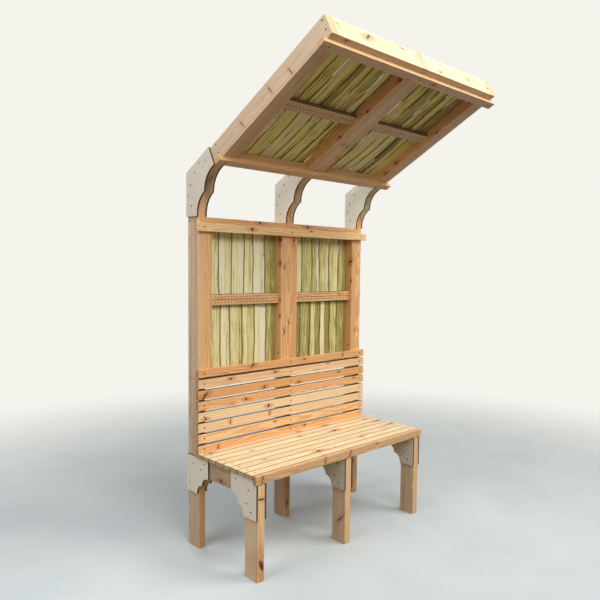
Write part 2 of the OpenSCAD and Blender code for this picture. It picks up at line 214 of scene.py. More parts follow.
class Lie:
    """How a node lies: its turn, its middle, and half its size along, across and through, in mm.
    Where a node holds two pieces side by side, split is the axis between them."""

    def __init__(self, name, axis, on_roof=False, split=None):
        self.turn = (ROOF @ ALONG[axis]) if on_roof else ALONG[axis]
        local = corners_of(name) @ np.array(self.turn)
        low, high = local.min(axis=0), local.max(axis=0)
        self.middle = Vector(self.turn @ Vector((low + high) / 2))
        self.half = (high - low) / 2 * 1000
        self.split = split
        self.apart = 0.0
        if split is not None:
            centred = (local[:, split] - (low + high)[split] / 2) * 1000
            inner = centred[centred > 0].min()
            self.apart = float((self.half[split] + inner) / 2)
            self.half[split] = (self.half[split] - inner) / 2


print("left post lies", [round(float(v)) for v in Lie("left_post", "z").half], "mm")

# %% [markdown]
# ## Planed softwood
# A picture of wood could be wrapped round each board, but its grain wouldn't run on from a face to an edge
# and an end. A solid pattern does, because rings are cylinders round the pith. So the recipe follows the
# tree, and all of a board's tones come from a few colours that its own warmth blends.

# %% Tones of the timber
EARLY_PALE, EARLY_WARM = colour(250, 236, 200), colour(238, 184, 126)
LATE_PALE, LATE_WARM = colour(234, 198, 142), colour(206, 140, 82)
KNOT, KNOT_CORE, KNOT_HALO = colour(98, 50, 25), colour(38, 22, 14), colour(190, 118, 62)
# HEART is the redder heartwood; the second colour paints the cool light on the roof's undersides.
HEART, UNDERSIDE_COOL_LIGHT = colour(224, 160, 114), colour(204, 184, 174)
# The flank colours are a grey of painted cool light from the side, over late wood and lines of grain.
FLANK_COOL_LIGHT, FLANK_LATE_COOL_LIGHT, FLANK_LINE = colour(224, 200, 176), colour(182, 148, 126), colour(132, 98, 82)
# The first paints pale highlights on the arrises, the second is grime at the ends, and the third paints shade
# in gaps and seams.
ARRIS_HIGHLIGHT, GRIME, CREVICE_SHADE = colour(252, 242, 214), colour(120, 100, 80), colour(72, 44, 22)
END_GRAIN = colour(176, 136, 112)
BRIGHTEST = 0.93


def between(first, second, share):
    """A fixed colour part of the way from one colour to another."""
    return tuple(p + (q - p) * share for p, q in zip(first, second))


print("early wood, half warm:", [round(c, 3) for c in between(EARLY_PALE, EARLY_WARM, 0.5)])

# %% [markdown]
# ## A board in its tree
# The pattern is measured from the pith, which wanders along the board. Noise that is long along the grain
# and narrow across it gives fibres, streaks and patches. The two pieces of a pair share a node, so each
# half is moved to the middle and gets a place of its own in the noise.

# %% A board in its tree
BOARD_STEP_MM, PAIR_STEP_MM = 977.0, 1371.0
WANDER_MM, SHAKE_MM = 26.0, 3.2


def in_board(f, lie):
    """A point's place in a board's own frame, in mm from the board's middle."""
    return f.node("ShaderNodeMapping", {"vector_type": "TEXTURE"},
                  {"Vector": f.place(), "Location": lie.middle, "Rotation": lie.turn.to_euler("XYZ"),
                   "Scale": (0.001, 0.001, 0.001)})


class Grain:
    """axes are a point's places along, across and through the board, and second is 1 in the second of two
    pieces. radius is the distance from the pith, the root of a squared plus b squared, plus slow noise that
    lets the pith wander and quick noise that shakes the fibres. All are in mm."""

    def __init__(self, f, lie, pith, seed):
        self.f, self.lie, self.pith, self.second = f, lie, pith, None
        self.axes = in_board(f, lie).parts()
        along = self.axes[0] + seed * BOARD_STEP_MM
        if lie.split is not None:
            self.second = self.axes[lie.split].math("GREATER_THAN", 0.0)
            self.axes[lie.split] = self.axes[lie.split] - (self.second * 2.0 - 1.0) * lie.apart
            along = along + self.second * PAIR_STEP_MM
        self.point = f.node("ShaderNodeCombineXYZ", {}, {0: along, 1: self.axes[1], 2: self.axes[2]})
        self.normal = f.node("ShaderNodeTexCoord", {}, {}, "Normal")
        self.quick = self.noise(0.012, 0.06)
        self.a, self.b = self.axes[1] - pith[0], self.axes[2] - pith[1]
        radius = (self.a * self.a + self.b * self.b).math("SQRT")
        wander = (self.noise(0.0016, 0.006, 2.0) - 0.5) * WANDER_MM
        self.radius = radius + wander + (self.quick - 0.5) * SHAKE_MM

    def noise(self, along, across, detail=3.0, roughness=0.5):
        return self.f.grainy(self.point, along, across, detail, roughness)

    def facing(self, axis):
        """1 on the faces that look along a local axis, either way, and 0 on the others."""
        way = self.lie.turn @ Vector([float(axis == i) for i in range(3)])
        return self.normal.vector("DOT_PRODUCT", way, 1).math("ABSOLUTE").step(0.7, 0.95)


print("pith wanders", WANDER_MM / 2, "mm either way at most")

# %% [markdown]
# ## Knots and cracks
# A dark disc on a face would look painted on. A branch grows out from the pith, so a knot is a cone with
# its tip there: it shows round on one face and drawn out on the next, and the rings swell round it. Where
# the branch was cut lengthwise it shows as a long spike. A drying crack is drawn in the same way, as a
# knot that is very narrow across the grain and so runs along it.

# %% Knots as cones
CRACK_STRETCH, SPIKE_STRETCH = 0.1, 3.5
SWELL_SHARE, SWELL_FROM_MM = 0.75, 9.0
OTHER_PIECE = 50.0
KNOT_TINTS = (("halo", KNOT_HALO, 0.6), ("knot", KNOT, 0.92), ("core", KNOT_CORE, 0.8),
              ("check", KNOT, 0.65))


def add_knots(grain, knots):
    """Swells the rings round the knots and returns the masks halo, knot, core and check, which is a crack. A
    knot is (along, across, through, radius, stretch, lean): its place on the face in mm, how much longer it
    is across the grain, and how far it leans along it. far is the distance square to the line from the pith
    through that place, divided by the cone's radius there, so it is 1 on the knot's rim."""
    lie, masks = grain.lie, {}
    for k_along, k_across, k_through, size, stretch, lean in knots:
        where = [k_along, k_across, k_through]
        upper = lie.split is not None and where[lie.split] > 0
        if lie.split is not None:
            where[lie.split] -= lie.apart if upper else -lie.apart
        toward = np.array([where[1] - grain.pith[0], where[2] - grain.pith[1]])
        reach = float(np.hypot(*toward))
        toward = [float(t) / reach for t in toward]
        out = (grain.a * toward[0] + grain.b * toward[1]).math("MAXIMUM", 0.12 * reach)
        turned = np.sign(toward[0]) if abs(toward[0]) > abs(toward[1]) else -np.sign(toward[1])
        aside = grain.a * float(-toward[1] * turned) + grain.b * float(toward[0] * turned)
        ahead_of = grain.axes[0] - k_along - aside * lean
        aside, ahead_of = aside * aside * (1 / stretch ** 2), ahead_of * ahead_of
        far = (aside + ahead_of * 0.8).math("SQRT") * (reach / size) / out
        if lie.split is not None:
            far = far + ((1.0 - grain.second) if upper else grain.second) * OTHER_PIECE
        drawn = (aside + ahead_of * 0.1).math("SQRT") * (reach / size) / out
        drawn = drawn.math("MAXIMUM", far * 0.35)
        grain.radius = grain.radius + far.step(3.4, 0.7) * (min(size, SWELL_FROM_MM) * SWELL_SHARE)
        if stretch < CRACK_STRETCH:
            found = {"check": far.step(1.3, 0.5)}
        else:
            ragged = far + (grain.quick - 0.5) * 0.9
            found = {"knot": ragged.step(1.12, 0.8), "halo": drawn.step(2.3, 0.8) * min(1.0, 3.0 / stretch)}
            if stretch < SPIKE_STRETCH:
                found["core"] = ragged.step(0.95, 0.3)
        for key, mask in found.items():
            masks[key] = masks[key].math("MAXIMUM", mask) if key in masks else mask
    return masks


print("knot tones:", ", ".join(key for key, _, _ in KNOT_TINTS))

# %% [markdown]
# ## Rings, faces, wear and painted light
# A ring is pale in spring and darkens to the end of summer, and the next starts abruptly. Each board has
# its faces told apart by the direction they look in: the flanks are streaked and greyed with painted cool
# light from the side, the faces under the roof are greyed with painted cool light from below, the sides of
# a gap get painted shade, and the ends are darker end grain with a little grime. The arrises get pale
# patches of painted highlight. Separate materials for the faces would do too, but they would break at an
# arris.

# %% Rings, faces and wear
GAP_SHADE = {1: 0.62, 2: 0.88}


def rings(grain, ring_mm, seed):
    """0 in spring wood and 1 in summer wood: the fraction of (radius + slow noise) / ring width, which
    climbs slowly and drops at the ring's end."""
    crowd = grain.f.node("ShaderNodeCombineXYZ", {}, {0: grain.radius * 0.03, 1: seed * 7.3, 2: 0.5})
    saw = ((grain.radius + grain.f.noise(crowd, 1.0) * 22.0) / ring_mm).math("FRACT")
    return saw.step(0.25, 0.9) * saw.step(1.0, 0.94)


def tint_faces(grain, base, late, band, flank, roof):
    """Streaks the side faces and greys them with painted cool light from the side, greys the faces that look
    down on the roof with painted cool light from below, and darkens the ends.
    """
    f = grain.f
    if flank is not None:
        lines = grain.noise(0.0009, 0.17, 3.0, 0.6)
        streaked = f.blend(FLANK_COOL_LIGHT, FLANK_LATE_COOL_LIGHT, late * band.step(0.3, 0.7) * 0.8)
        streaked = f.blend(streaked, FLANK_LINE, lines.step(0.53, 0.66) * 0.6)
        base = f.blend(base, streaked, grain.facing(flank) * 0.65)
    # Painted cool light: on the roof the faces that look down are greyed.
    if roof:
        base = f.blend(base, UNDERSIDE_COOL_LIGHT, grain.facing(2) * 0.5)
    return f.blend(base, END_GRAIN, grain.facing(0) * (0.12 if roof else 0.5))


def wear_and_painted_light(grain, base, gap, seam):
    """Paints pale patches of highlight on the arrises, soils the ends with grime, and paints shade on the
    sides of a gap and in the seam of two strips.
    """
    f = grain.f
    to_edge = [float(half) - axis.math("ABSOLUTE") for half, axis in zip(grain.lie.half, grain.axes)]
    grime_and_highlight_patches = grain.noise(0.02, 0.05)
    arris = (to_edge[1] + to_edge[2]).step(5.5, 1.0)
    # Painted highlight in patches along the arrises.
    base = f.blend(base, ARRIS_HIGHLIGHT, arris * grime_and_highlight_patches.step(0.4, 0.7) * 0.4)
    base = f.blend(base, GRIME, to_edge[0].step(14.0, 0.0) * grime_and_highlight_patches.step(0.5, 0.75) * 0.16)
    # Painted shade on the sides of a gap and in the seam of two strips.
    if gap is not None:
        base = f.blend(base, CREVICE_SHADE, grain.facing(gap) * GAP_SHADE[gap])
    if seam is not None:
        base = f.blend(base, CREVICE_SHADE, to_edge[seam].step(2.8, 0.6) * 0.85)
    return base


print("gap shades, seat and back:", list(GAP_SHADE.values()))

# %% [markdown]
# ## The whole softwood
# The parts come together here, with resin flecks, a redder heart and the planer's faint ripples. The
# ripples are too shallow to model, so they go into a Bump node with the fibres.

# %% Softwood
RIPPLE_MM, WOOD_BUMP_M = 2.6, 0.00022


def softwood(name, lie, pith, warmth, value, knots, ring_mm, seed, contrast, gap, flank, seam, roof, other):
    """The solid pattern of one node. pith is (across, through) in mm from the middle. gap and flank name the
    local axes whose faces look into a gap, which get painted shade, or to the bench's side, which get a grey
    of painted cool light. seam is the axis between two strips that touch, whose seam gets painted shade. roof
    greys the faces that look down with painted cool light, and other tints the second of two pieces."""
    f = Finish(name)
    grain = Grain(f, lie, pith, seed)
    masks = add_knots(grain, knots)
    late = rings(grain, ring_mm, seed)
    patch, band = grain.noise(0.003, 0.02, 2.0), grain.noise(0.0014, 0.11, 2.0)
    fibre, fleck = grain.noise(0.02, 0.9, 4.0, 0.6), grain.noise(0.035, 1.6, 2.0)
    base = f.blend(between(EARLY_PALE, EARLY_WARM, warmth), between(LATE_PALE, LATE_WARM, warmth),
                   late * (patch * 0.7 + (contrast - 0.35)))
    base = f.blend(base, HEART, grain.radius.step(62.0, 30.0) * 0.35)
    base = f.blend(base, KNOT_HALO, fleck.step(0.66, 0.74) * 0.35)
    base = tint_faces(grain, base, late, band, flank, roof)
    for key, tint, share in KNOT_TINTS:
        if key in masks:
            base = f.blend(base, tint, masks[key] * share)
    if other is not None:
        base = f.blend(base, other, grain.second * 0.55)
    base = wear_and_painted_light(grain, base, gap, seam)
    end = grain.facing(0)
    streaks = (fibre - 0.5) * 0.22 + (patch - 0.5) * 0.16 + (band - 0.5) * 0.26
    tone = streaks + (1.0 - end * (0.0 if roof else 0.22))
    base = f.shade(base, tone * value).vector("MINIMUM", (BRIGHTEST,) * 3)

    ripple = (grain.axes[0] * (2 * pi / RIPPLE_MM)).math("SINE") * 0.05
    height = late * 0.35 + (fibre - 0.5) * 0.9 + ripple + end * (fleck - 0.5) * 1.5
    rough = (fibre - 0.5) * 0.25 + (late * -0.08 + 0.56) + end * 0.2
    return f.close(base, rough, height, WOOD_BUMP_M)


def dress(name, material):
    """Puts a material in every slot of a node."""
    data = nodes[name].data
    data.materials.clear()
    data.materials.append(material)


print("planing ripples:", RIPPLE_MM, "mm apart")

# %% [markdown]
# ## Knots in sight
# Knots could all be scattered at random, but the ones in sight give a board its face. So those that the
# photograph shows plainly are listed, in millimetres from the middle of the node: along the grain,
# across, through, and the radius. Two more numbers may follow: how drawn out the knot is across the grain,
# and how far it leans. A spike has a stretch of 2 to 8, and a crack one far below 0.1.

# %% Knots seen in the photograph
SEEN = {
    "back_top_batten": [(-262, -10, 10, 7, 1.6, 0.8), (99, -10, 8, 5), (407, -10, 4, 3, 5, 0.1)],
    "back_board_6": [(-401, -10, 7, 6), (-111, -10, 10, 6), (285, -10, 16, 4)],
    "back_board_5": [(-553, -10, -6, 7, 2.6, 1.1), (-185, -10, -8, 6, 1.4, 0.5), (58, -10, -12, 6),
                     (375, -10, 10, 5)],
    "back_board_4": [(-304, -10, -2, 6), (505, -10, 12, 5)],
    "back_board_3": [(-156, -10, -4, 7), (-549, -10, -12, 6)],
    "back_board_2": [(-147, -10, 8, 3, 4, 0.4), (-402, -10, 3, 3, 5, 0.1)],
    "back_board_1": [(-111, -10, 10, 4)],
    "back_base_batten": [(-475, -10, -4, 3, 4, 0.1), (105, -10, 4, 5)],
    "seat_board_8": [(-535, -16, 10, 8), (44, -14, 10, 6), (248, -13, 10, 8)],
    "seat_board_7": [(528, -18, 10, 6)],
    "seat_board_6": [(-18, 16, 10, 6), (212, -14, 10, 11), (-363, -8, 10, 5)],
    "seat_board_5": [(545, 18, 10, 12, 0.5)],
    "seat_board_4": [(567, -18, 10, 12, 0.5)],
    "seat_board_3": [(-404, 4, 10, 4)],
    "seat_board_2": [(230, 15, 10, 6), (-124, -11, 10, 11)],
    "seat_nosing": [(-168, -10, 0, 3, 6, 0.15), (9, -10, 3, 3, 6, 0.1), (-552, -10, 6, 3, 4, 0.1),
                    (211, -10, 12, 4)],
    "panel_batten": [(-270, -10, 3, 8), (141, -10, 14, 5)],
    "left_back_rails": [(75, -44, 385, 8)],
    "right_back_rails": [(-145, -44, 380, 8)],
    "left_back_stiles": [(305, -36, -221, 8), (180, -36, -221, 5), (163, -44, -243, 5), (-12, -36, -221, 4),
                         (-97, -36, -221, 4), (-178, -44, -246, 6)],
    "right_back_stiles": [(305, -44, 245, 9), (200, -36, -221, 6, 2, -1), (89, -38, -221, 4),
                          (-206, -44, -250, 4)],
    "middle_post": [(167, -44, 0, 5), (-817, -44, 2, 7)],
    "left_post": [(-750, -29, 19, 150, 0.006), (-760, -5, 19, 70, 0.01), (300, 12, 19, 240, 0.003)],
    "left_front_leg": [(-154, -44, -2, 19, 0.72), (140, -44, 0, 4, 6, 0.1)],
    "middle_front_leg": [(-104, -12, 19, 5, 5, -1), (-178, 11, 19, 50, 0.02)],
    "right_front_leg": [(-90, 18, 19, 120, 0.01), (-150, 30, 19, 60, 0.015)],
    "left_seat_rail": [(-2, 19, -26, 8), (-90, 19, 22, 4)],
    "left_rafter": [(-270, 19, -14, 2.6, 8, 0.3), (-143, 19, -1, 2.6, 8, 0.3), (65, 19, -7, 2.6, 8, 0.3),
                    (-60, 19, 3, 330, 0.002)],
    "left_roof_rails": [(-69, -392, 12, 8, 2, 1), (155, -392, 28, 5), (-211, -380, -44, 4)],
    "right_roof_rails": [(-157, -392, -25, 5), (83, -392, -3, 5), (255, -392, -7, 5)],
    "left_roof_stiles": [(-293, -221, -33, 5), (-88, -221, -37, 5), (100, -221, -35, 5)],
    "right_roof_stiles": [(144, 247, -44, 5), (227, 233, -44, 5), (-79, -221, -38, 4), (205, -221, -21, 5),
                          (288, -221, -38, 5)],
}
print("nodes with knots placed by hand:", len(SEEN))

# %% [markdown]
# ## A tone for each board
# The boards came from different trees. So each has its own warmth, 0 for cream and 1 for orange, and its
# own lightness. The ones that stand out are listed one by one, and the others take the tone of their kind.

# %% Tones of single boards
TONES = {
    "seat_board_1": (0.35, 1.0), "seat_board_2": (0.15, 1.0), "seat_board_3": (0.35, 0.96),
    "seat_board_4": (0.1, 1.0), "seat_board_5": (0.35, 0.97), "seat_board_6": (0.15, 1.0),
    "seat_board_7": (0.3, 0.95), "seat_board_8": (0.35, 0.97), "seat_nosing": (0.85, 0.86),
    "back_board_1": (0.85, 1.14), "back_board_2": (0.55, 1.1), "back_board_3": (0.5, 1.1),
    "back_board_4": (0.95, 1.03), "back_board_5": (1.05, 1.0), "back_board_6": (0.72, 1.02),
    "back_base_batten": (0.9, 1.08), "back_top_batten": (0.95, 0.97), "panel_batten": (0.72, 1.25),
    "roof_rear_batten": (0.95, 1.02), "roof_front_batten": (0.75, 0.95), "left_front_leg": (0.62, 1.1),
}
print("boards with a tone of their own:", len(TONES))

# %% [markdown]
# ## Dressing the timbers
# One material for all the timber would be simple, but then every board would lie in the same frame. Here
# each node has its own. The pith is put on the side away from the knots in sight, so that their cones open
# towards the faces that show.

# %% Dressing the timbers
RIBS = ("left", "middle", "right")
FROM_ENDS_MM = 60
PITH_MM = (45, 95)
RING_MM = (2.6, 4.2)
# Painted shade for the rear rail of each roof panel: darker and warmer than the front rail.
REAR_RAIL_SHADE = colour(184, 124, 62)


def scattered(rng, lie, pith, count, size):
    """Knots on the faces away from the pith, not close to the ends."""
    found = []
    for _ in range(count):
        face = int(rng.integers(2)) + 1
        where = [float(rng.uniform(-1, 1) * (lie.half[0] - FROM_ENDS_MM)),
                 float(rng.uniform(-0.8, 0.8) * lie.half[1]), float(rng.uniform(-0.8, 0.8) * lie.half[2])]
        where[face] = float(-np.sign(pith[face - 1]) * lie.half[face])
        if lie.split is not None:
            where[lie.split] += float(rng.choice((-1, 1)) * lie.apart)
        found.append((*where, float(rng.uniform(0.6, 1.1) * size)))
    return found


def timber_finish(name, axis, on_roof=False, split=None, tone=(0.85, 1.0), knots=3, size=6.0, contrast=0.75,
                  gap=None, flank=None, seam=None, other=None):
    """Makes and fits the softwood of one node. The letters of its name give the seed of its random draws."""
    lie = Lie(name, axis, on_roof, split)
    rng = np.random.default_rng(sum(ord(c) * (i + 3) for i, c in enumerate(name)))
    swing = rng.uniform(0, 2 * pi)
    off = rng.uniform(*PITH_MM)
    marks = SEEN.get(name)
    if marks:
        at = np.array([mark[1:3] for mark in marks], float)
        if split is not None:
            at[:, split - 1] -= np.sign(at[:, split - 1]) * lie.apart
        mean = (at / lie.half[1:]).mean(axis=0)
        swing = np.arctan2(-mean[1], -mean[0]) + rng.uniform(-0.3, 0.3)
    pith = (float(off * cos(swing)), float(off * sin(swing)))
    marks = marks or scattered(rng, lie, pith, knots, size)
    marks = [(*mark, 1.0, 0.0)[:6] for mark in marks]
    warmth, value = TONES.get(name, tone)
    warmth = float(np.clip(warmth + rng.uniform(-0.08, 0.08), 0, 1.2))
    material = softwood("softwood_" + name, lie, pith, warmth, value, marks, float(rng.uniform(*RING_MM)),
                        float(rng.uniform(0, 9)), contrast, gap, flank, seam, on_roof, other)
    dress(name, material)
    return material


dressed = []
for rib in RIBS:
    dressed += [timber_finish(rib + "_front_leg", "z", tone=(0.62, 1.05), knots=2, flank=2),
                timber_finish(rib + "_post", "z", tone=(0.88, 0.98), knots=6, flank=2),
                timber_finish(rib + "_seat_rail", "y", tone=(0.9, 0.75), knots=2, flank=1),
                timber_finish(rib + "_rafter", "y", True, tone=(0.6, 0.97), knots=5, flank=1)]
dressed += [timber_finish(f"seat_board_{i}", "x", knots=2, size=5, gap=1) for i in range(1, 9)]
dressed += [timber_finish(f"back_board_{i}", "x", knots=2, size=5, gap=2) for i in range(1, 7)]
dressed += [timber_finish(name, "x") for name in ("seat_nosing", "back_top_batten", "panel_batten")]
dressed += [timber_finish("back_base_batten", "x", gap=2)]
dressed += [timber_finish(name, "x", True) for name in ("roof_rear_batten", "roof_front_batten")]
for side_name in ("left", "right"):
    for part, roof in (("back", False), ("roof", True)):
        panel, split = f"{side_name}_{part}", 1 if roof else 2
        # On the roof the rails take a pale tone that paints the bright light on the front rail, and the rear
        # rail gets painted shade.
        rail_tone, rear_rail_shade = ((0.35, 0.98), REAR_RAIL_SHADE) if roof else ((0.85, 1.0), None)
        dressed += [timber_finish(panel + "_stiles", "y" if roof else "z", roof, split, (0.95, 0.93), 5),
                    timber_finish(panel + "_rails", "x", roof, split, rail_tone, 4, other=rear_rail_shade),
                    timber_finish(panel + "_strips", "x", roof, split, (0.85, 0.95), 1, 4, seam=split)]
print("softwood finishes:", len(dressed))

# %% [markdown]
# ## Laser-cut plywood
# The plates' faces are a pale veneer with faint grain. Their edges were scorched by the laser, so they are
# dark brown, with the cross layers showing as slightly different bands. The edges could have a material of
# their own, but the loose triangles would have to be sorted first. An edge is told from a face by the
# direction it looks in instead: a face of a plate looks along the bench.

# %% Plywood finish
VENEER, VENEER_DARK = colour(250, 240, 224), colour(226, 206, 182)
CHAR, CHAR_PALE = colour(44, 26, 12), colour(146, 104, 58)
PLY_T_M, PLY_LAYERS, PLY_BUMP_M = 0.009, 7, 0.00015
# Each plate's lightness paints the light and shade that fall on it: the roof's plates paler towards the
# right, the middle and right front plates darker in shade, the left rear one brighter.
PLATE_LIGHT_LEVELS = {"left_roof": 0.85, "middle_roof": 1.06, "right_roof": 1.13, "middle_front": 0.78,
               "right_front": 0.85, "left_rear": 1.08}


def plywood(name, value):
    """Veneer on the faces that look along X, scorched layers on every other face. A layer is dark or pale by
    the fraction of x times half the number of layers over the thickness."""
    f = Finish("plywood_" + name)
    spot = in_board(f, Lie(name, "z"))
    cloud, fibre = f.grainy(spot, 0.006, 0.02, 2.0), f.grainy(spot, 0.03, 1.2)
    waves = (f.grainy(spot, 0.012, 0.35, 4.0, 0.6) * 5.0 + cloud * 3.0).math("FRACT")
    figure = (waves - 0.5).math("ABSOLUTE").step(0.1, 0.5)
    face = f.blend(VENEER, VENEER_DARK, figure * 0.3 + cloud * 0.25)
    layer = (f.place().parts()[0] * (PLY_LAYERS / PLY_T_M / 2)).math("FRACT").step(0.45, 0.55)
    edge = f.blend(CHAR, CHAR_PALE, layer * f.grainy(spot, 0.15, 0.15) * 0.9)
    normal_x = f.node("ShaderNodeTexCoord", {}, {}, "Normal").parts()[0].math("ABSOLUTE")
    is_edge = normal_x.step(0.8, 0.5)
    base = f.blend(face, edge, is_edge)
    # value paints the plate's light and shade.
    base = f.shade(base, ((fibre - 0.5) * 0.16 + 1.0) * value).vector("MINIMUM", (BRIGHTEST,) * 3)
    height = (fibre - 0.5) * 0.8 + is_edge * layer * 1.2
    rough = is_edge * 0.25 + (fibre * 0.12 + 0.5)
    dress(name, f.close(base, rough, height, PLY_BUMP_M))


plates = [f"{rib}_{joint}" for rib in RIBS for joint in ("front", "rear", "roof")]
for plate in plates:
    plywood(plate + "_gussets", PLATE_LIGHT_LEVELS.get(plate, 1.0))
print("plywood finishes:", len(plates), "pairs of plates")

# %% [markdown]
# ## Screws
# The heads are small, dull and nearly black, with faint blotches. Bare steel would be metallic, but a metal
# mirrors the pale surroundings and turns grey. The heads wear a dark coating, so a plain rough brown is
# truer. The nails' heads are a little redder.

# %% Screw finish
BLOTCHES_PER_M, SCREW_BUMP_M = 400.0, 0.00005


def screw_finish(name, pale, dark):
    """A dull coating with faint blotches."""
    f = Finish(name)
    blotch = f.grainy(f.place(), BLOTCHES_PER_M, BLOTCHES_PER_M)
    base = f.blend(colour(*pale), colour(*dark), blotch.step(0.35, 0.65))
    return f.close(base, blotch * 0.3 + 0.5, blotch, SCREW_BUMP_M, Metallic=0.0)


steel = screw_finish("screw_steel", (52, 42, 34), (26, 20, 15))
iron = screw_finish("nail_iron", (52, 32, 20), (30, 18, 10))
SCREWS = ("gusset_screws", "board_screws", "panel_screws")
for name in SCREWS:
    dress(name, steel)
print("screws:", ", ".join(SCREWS))

# %% [markdown]
# ## Panel frames
# Each lath panel has the same layout, so its pieces are worked out once, flat, with x across the bay, y
# inwards from the face towards the seat, and z along the panel. A small function then carries points into
# the back or into the roof. Parenting to an empty would do the same, but the pieces have to sit at the
# origin with their places in their meshes.

# %% Where the panels stand
def panel_frame(name):
    """Returns a function from panel millimetres, an n by 3 array, to places in the row's frame."""
    rails = corners_of(name + "_rails")
    if "_roof" in name:
        turn = np.array(ROOF)
        local = rails @ turn
        low, high = local.min(axis=0), local.max(axis=0)
        start = np.array([(low[0] + high[0]) / 2, high[1], low[2]])
        return lambda p: (start + np.stack([p[:, 0], -p[:, 2], p[:, 1]], axis=1) / 1000) @ turn.T
    low, high = rails.min(axis=0), rails.max(axis=0)
    start = np.array([(low[0] + high[0]) / 2, low[1], low[2]])
    return lambda p: start + p / 1000


PANELS = ("left_back", "right_back", "left_roof", "right_roof")
to_place = {name: panel_frame(name) for name in PANELS}
print("panels:", ", ".join(PANELS))

# %% [markdown]
# ## Riven laths
# A riven lath is split from green wood along its fibres, so its edges wander in long bends with torn
# nicks, and its faces are ridged. Twelve lie side by side in each half of a panel, in two layers that
# lap a few millimetres. The solid laths of the model have the same sizes, which are named here once more.

# %% Sizes of the laths, in mm
LATHS, FIELD_W, PANEL_LEN = 12, 441.5, 784.0
LATH_T, LATH_MID, LATH_LAP = 4.5, 44.5, 3.5
TIMBER_T, GROOVE, END_GAP, DRY_GAP = 38.0, 8.0, 1.0, 0.3
SEEDS = {"left_back": 0.11, "right_back": 0.37, "left_roof": 0.59, "right_roof": 0.83}
GOLDEN = 0.618034
LINE_DRIFT, LONG_SWING, SHORT_SWING, LONG_WAVES, SHORT_WAVES = 0.27, 1.6, 0.9, 0.9, 2.1
TEARS = np.array([5.0, 9.0, 17.0, 31.0, 53.0])
TEAR, ROUGH_TEAR = 0.9, 1.1
SLIT, LEAST_LAP = 4.3, 3.6
BOWED = {("right_roof", 0): 17.0, ("left_roof", 0): 9.0, ("left_roof", 1): 5.0}
LENGTH_STEPS, ROUND_STEPS = 72, 14
print("a lath is about", round(FIELD_W / LATHS + 2 * LATH_LAP, 1), "mm wide")

# %% [markdown]
# ## Edges of the laths
# Cutting notches into a straight strip would look sawn. The edge is a sum of sine waves instead: two long
# ones, the same as in the solid laths, and five short ones for the tearing. On the roof the laths are
# rougher. There some neighbours draw back in places, so that a slanting look finds light between them, and
# three fields are bowed to one side.

# %% Edges of the laths
def scatter(i, seed):
    """Steady scatter between -1 and 1: steps of the golden ratio."""
    return 2 * (((i + 1) * GOLDEN + seed) % 1.0) - 1


def lath_edges(f, i, side, seed):
    """x of one edge at the share f of the length: its line, plus the lap, a long wave and a short one."""
    line = i + (side + 1) // 2
    if line in (0, LATHS):
        return np.full_like(f, side * (FIELD_W / 2 - END_GAP))
    n = i + line
    middle = FIELD_W / LATHS * (line + LINE_DRIFT * scatter(line, seed)) - FIELD_W / 2
    swing = LONG_SWING * np.sin(2 * pi * (LONG_WAVES * f + scatter(3 * n, seed)))
    swing += SHORT_SWING * np.sin(2 * pi * (SHORT_WAVES * f + scatter(5 * n, seed)))
    return middle + side * LATH_LAP + swing


def torn(f, rng, size):
    """Fine tearing: five sine waves of rising pitch and falling height, with random starts."""
    starts = rng.uniform(0, 1, len(TEARS))
    return size * (np.sin(2 * pi * (TEARS * f[:, None] + starts)) / TEARS ** 0.6).sum(axis=1)


def field_edges(f, seed, rng, rough, bow):
    """x of both edges of the twelve laths of a field, 12 by 2 by len(f). On a rough field the tearing is
    deeper, and at some lines both laths draw back by a clipped sine wave but keep a lap of LEAST_LAP. bow
    bends the middle laths sideways, by the sine of half a turn."""
    edges = np.empty((LATHS, 2, len(f)))
    limit = FIELD_W / 2 - END_GAP
    for i in range(LATHS):
        for k, side in enumerate((-1, 1)):
            line = i + k
            x = lath_edges(f, i, side, seed) + torn(f, rng, ROUGH_TEAR if rough else TEAR)
            x += bow * np.sin(pi * f) * (1 - (2 * line / LATHS - 1) ** 2)
            if rough and scatter(11 * line, seed) > 0.3:
                wave = 2 * np.sin(2 * pi * (0.8 * f + scatter(7 * line, seed))) - 0.8
                x -= side * SLIT * np.clip(wave, 0, 1)
            edges[i, k] = x
    if rough:
        surplus = np.maximum(edges[1:, 0] - edges[:-1, 1] + LEAST_LAP, 0) / 2
        edges[1:, 0] -= surplus
        edges[:-1, 1] += surplus
    return np.clip(edges, -limit, limit)


print("lines between the laths:", LATHS - 1, "in a field")

# %% [markdown]
# ## One lath
# A flat strip with Solidify would have sharp edges all round. A loop of points round the section, carried
# along the length, gives rounded torn edges and ridged faces in one go. The loops are joined by quads and
# closed at both ends.

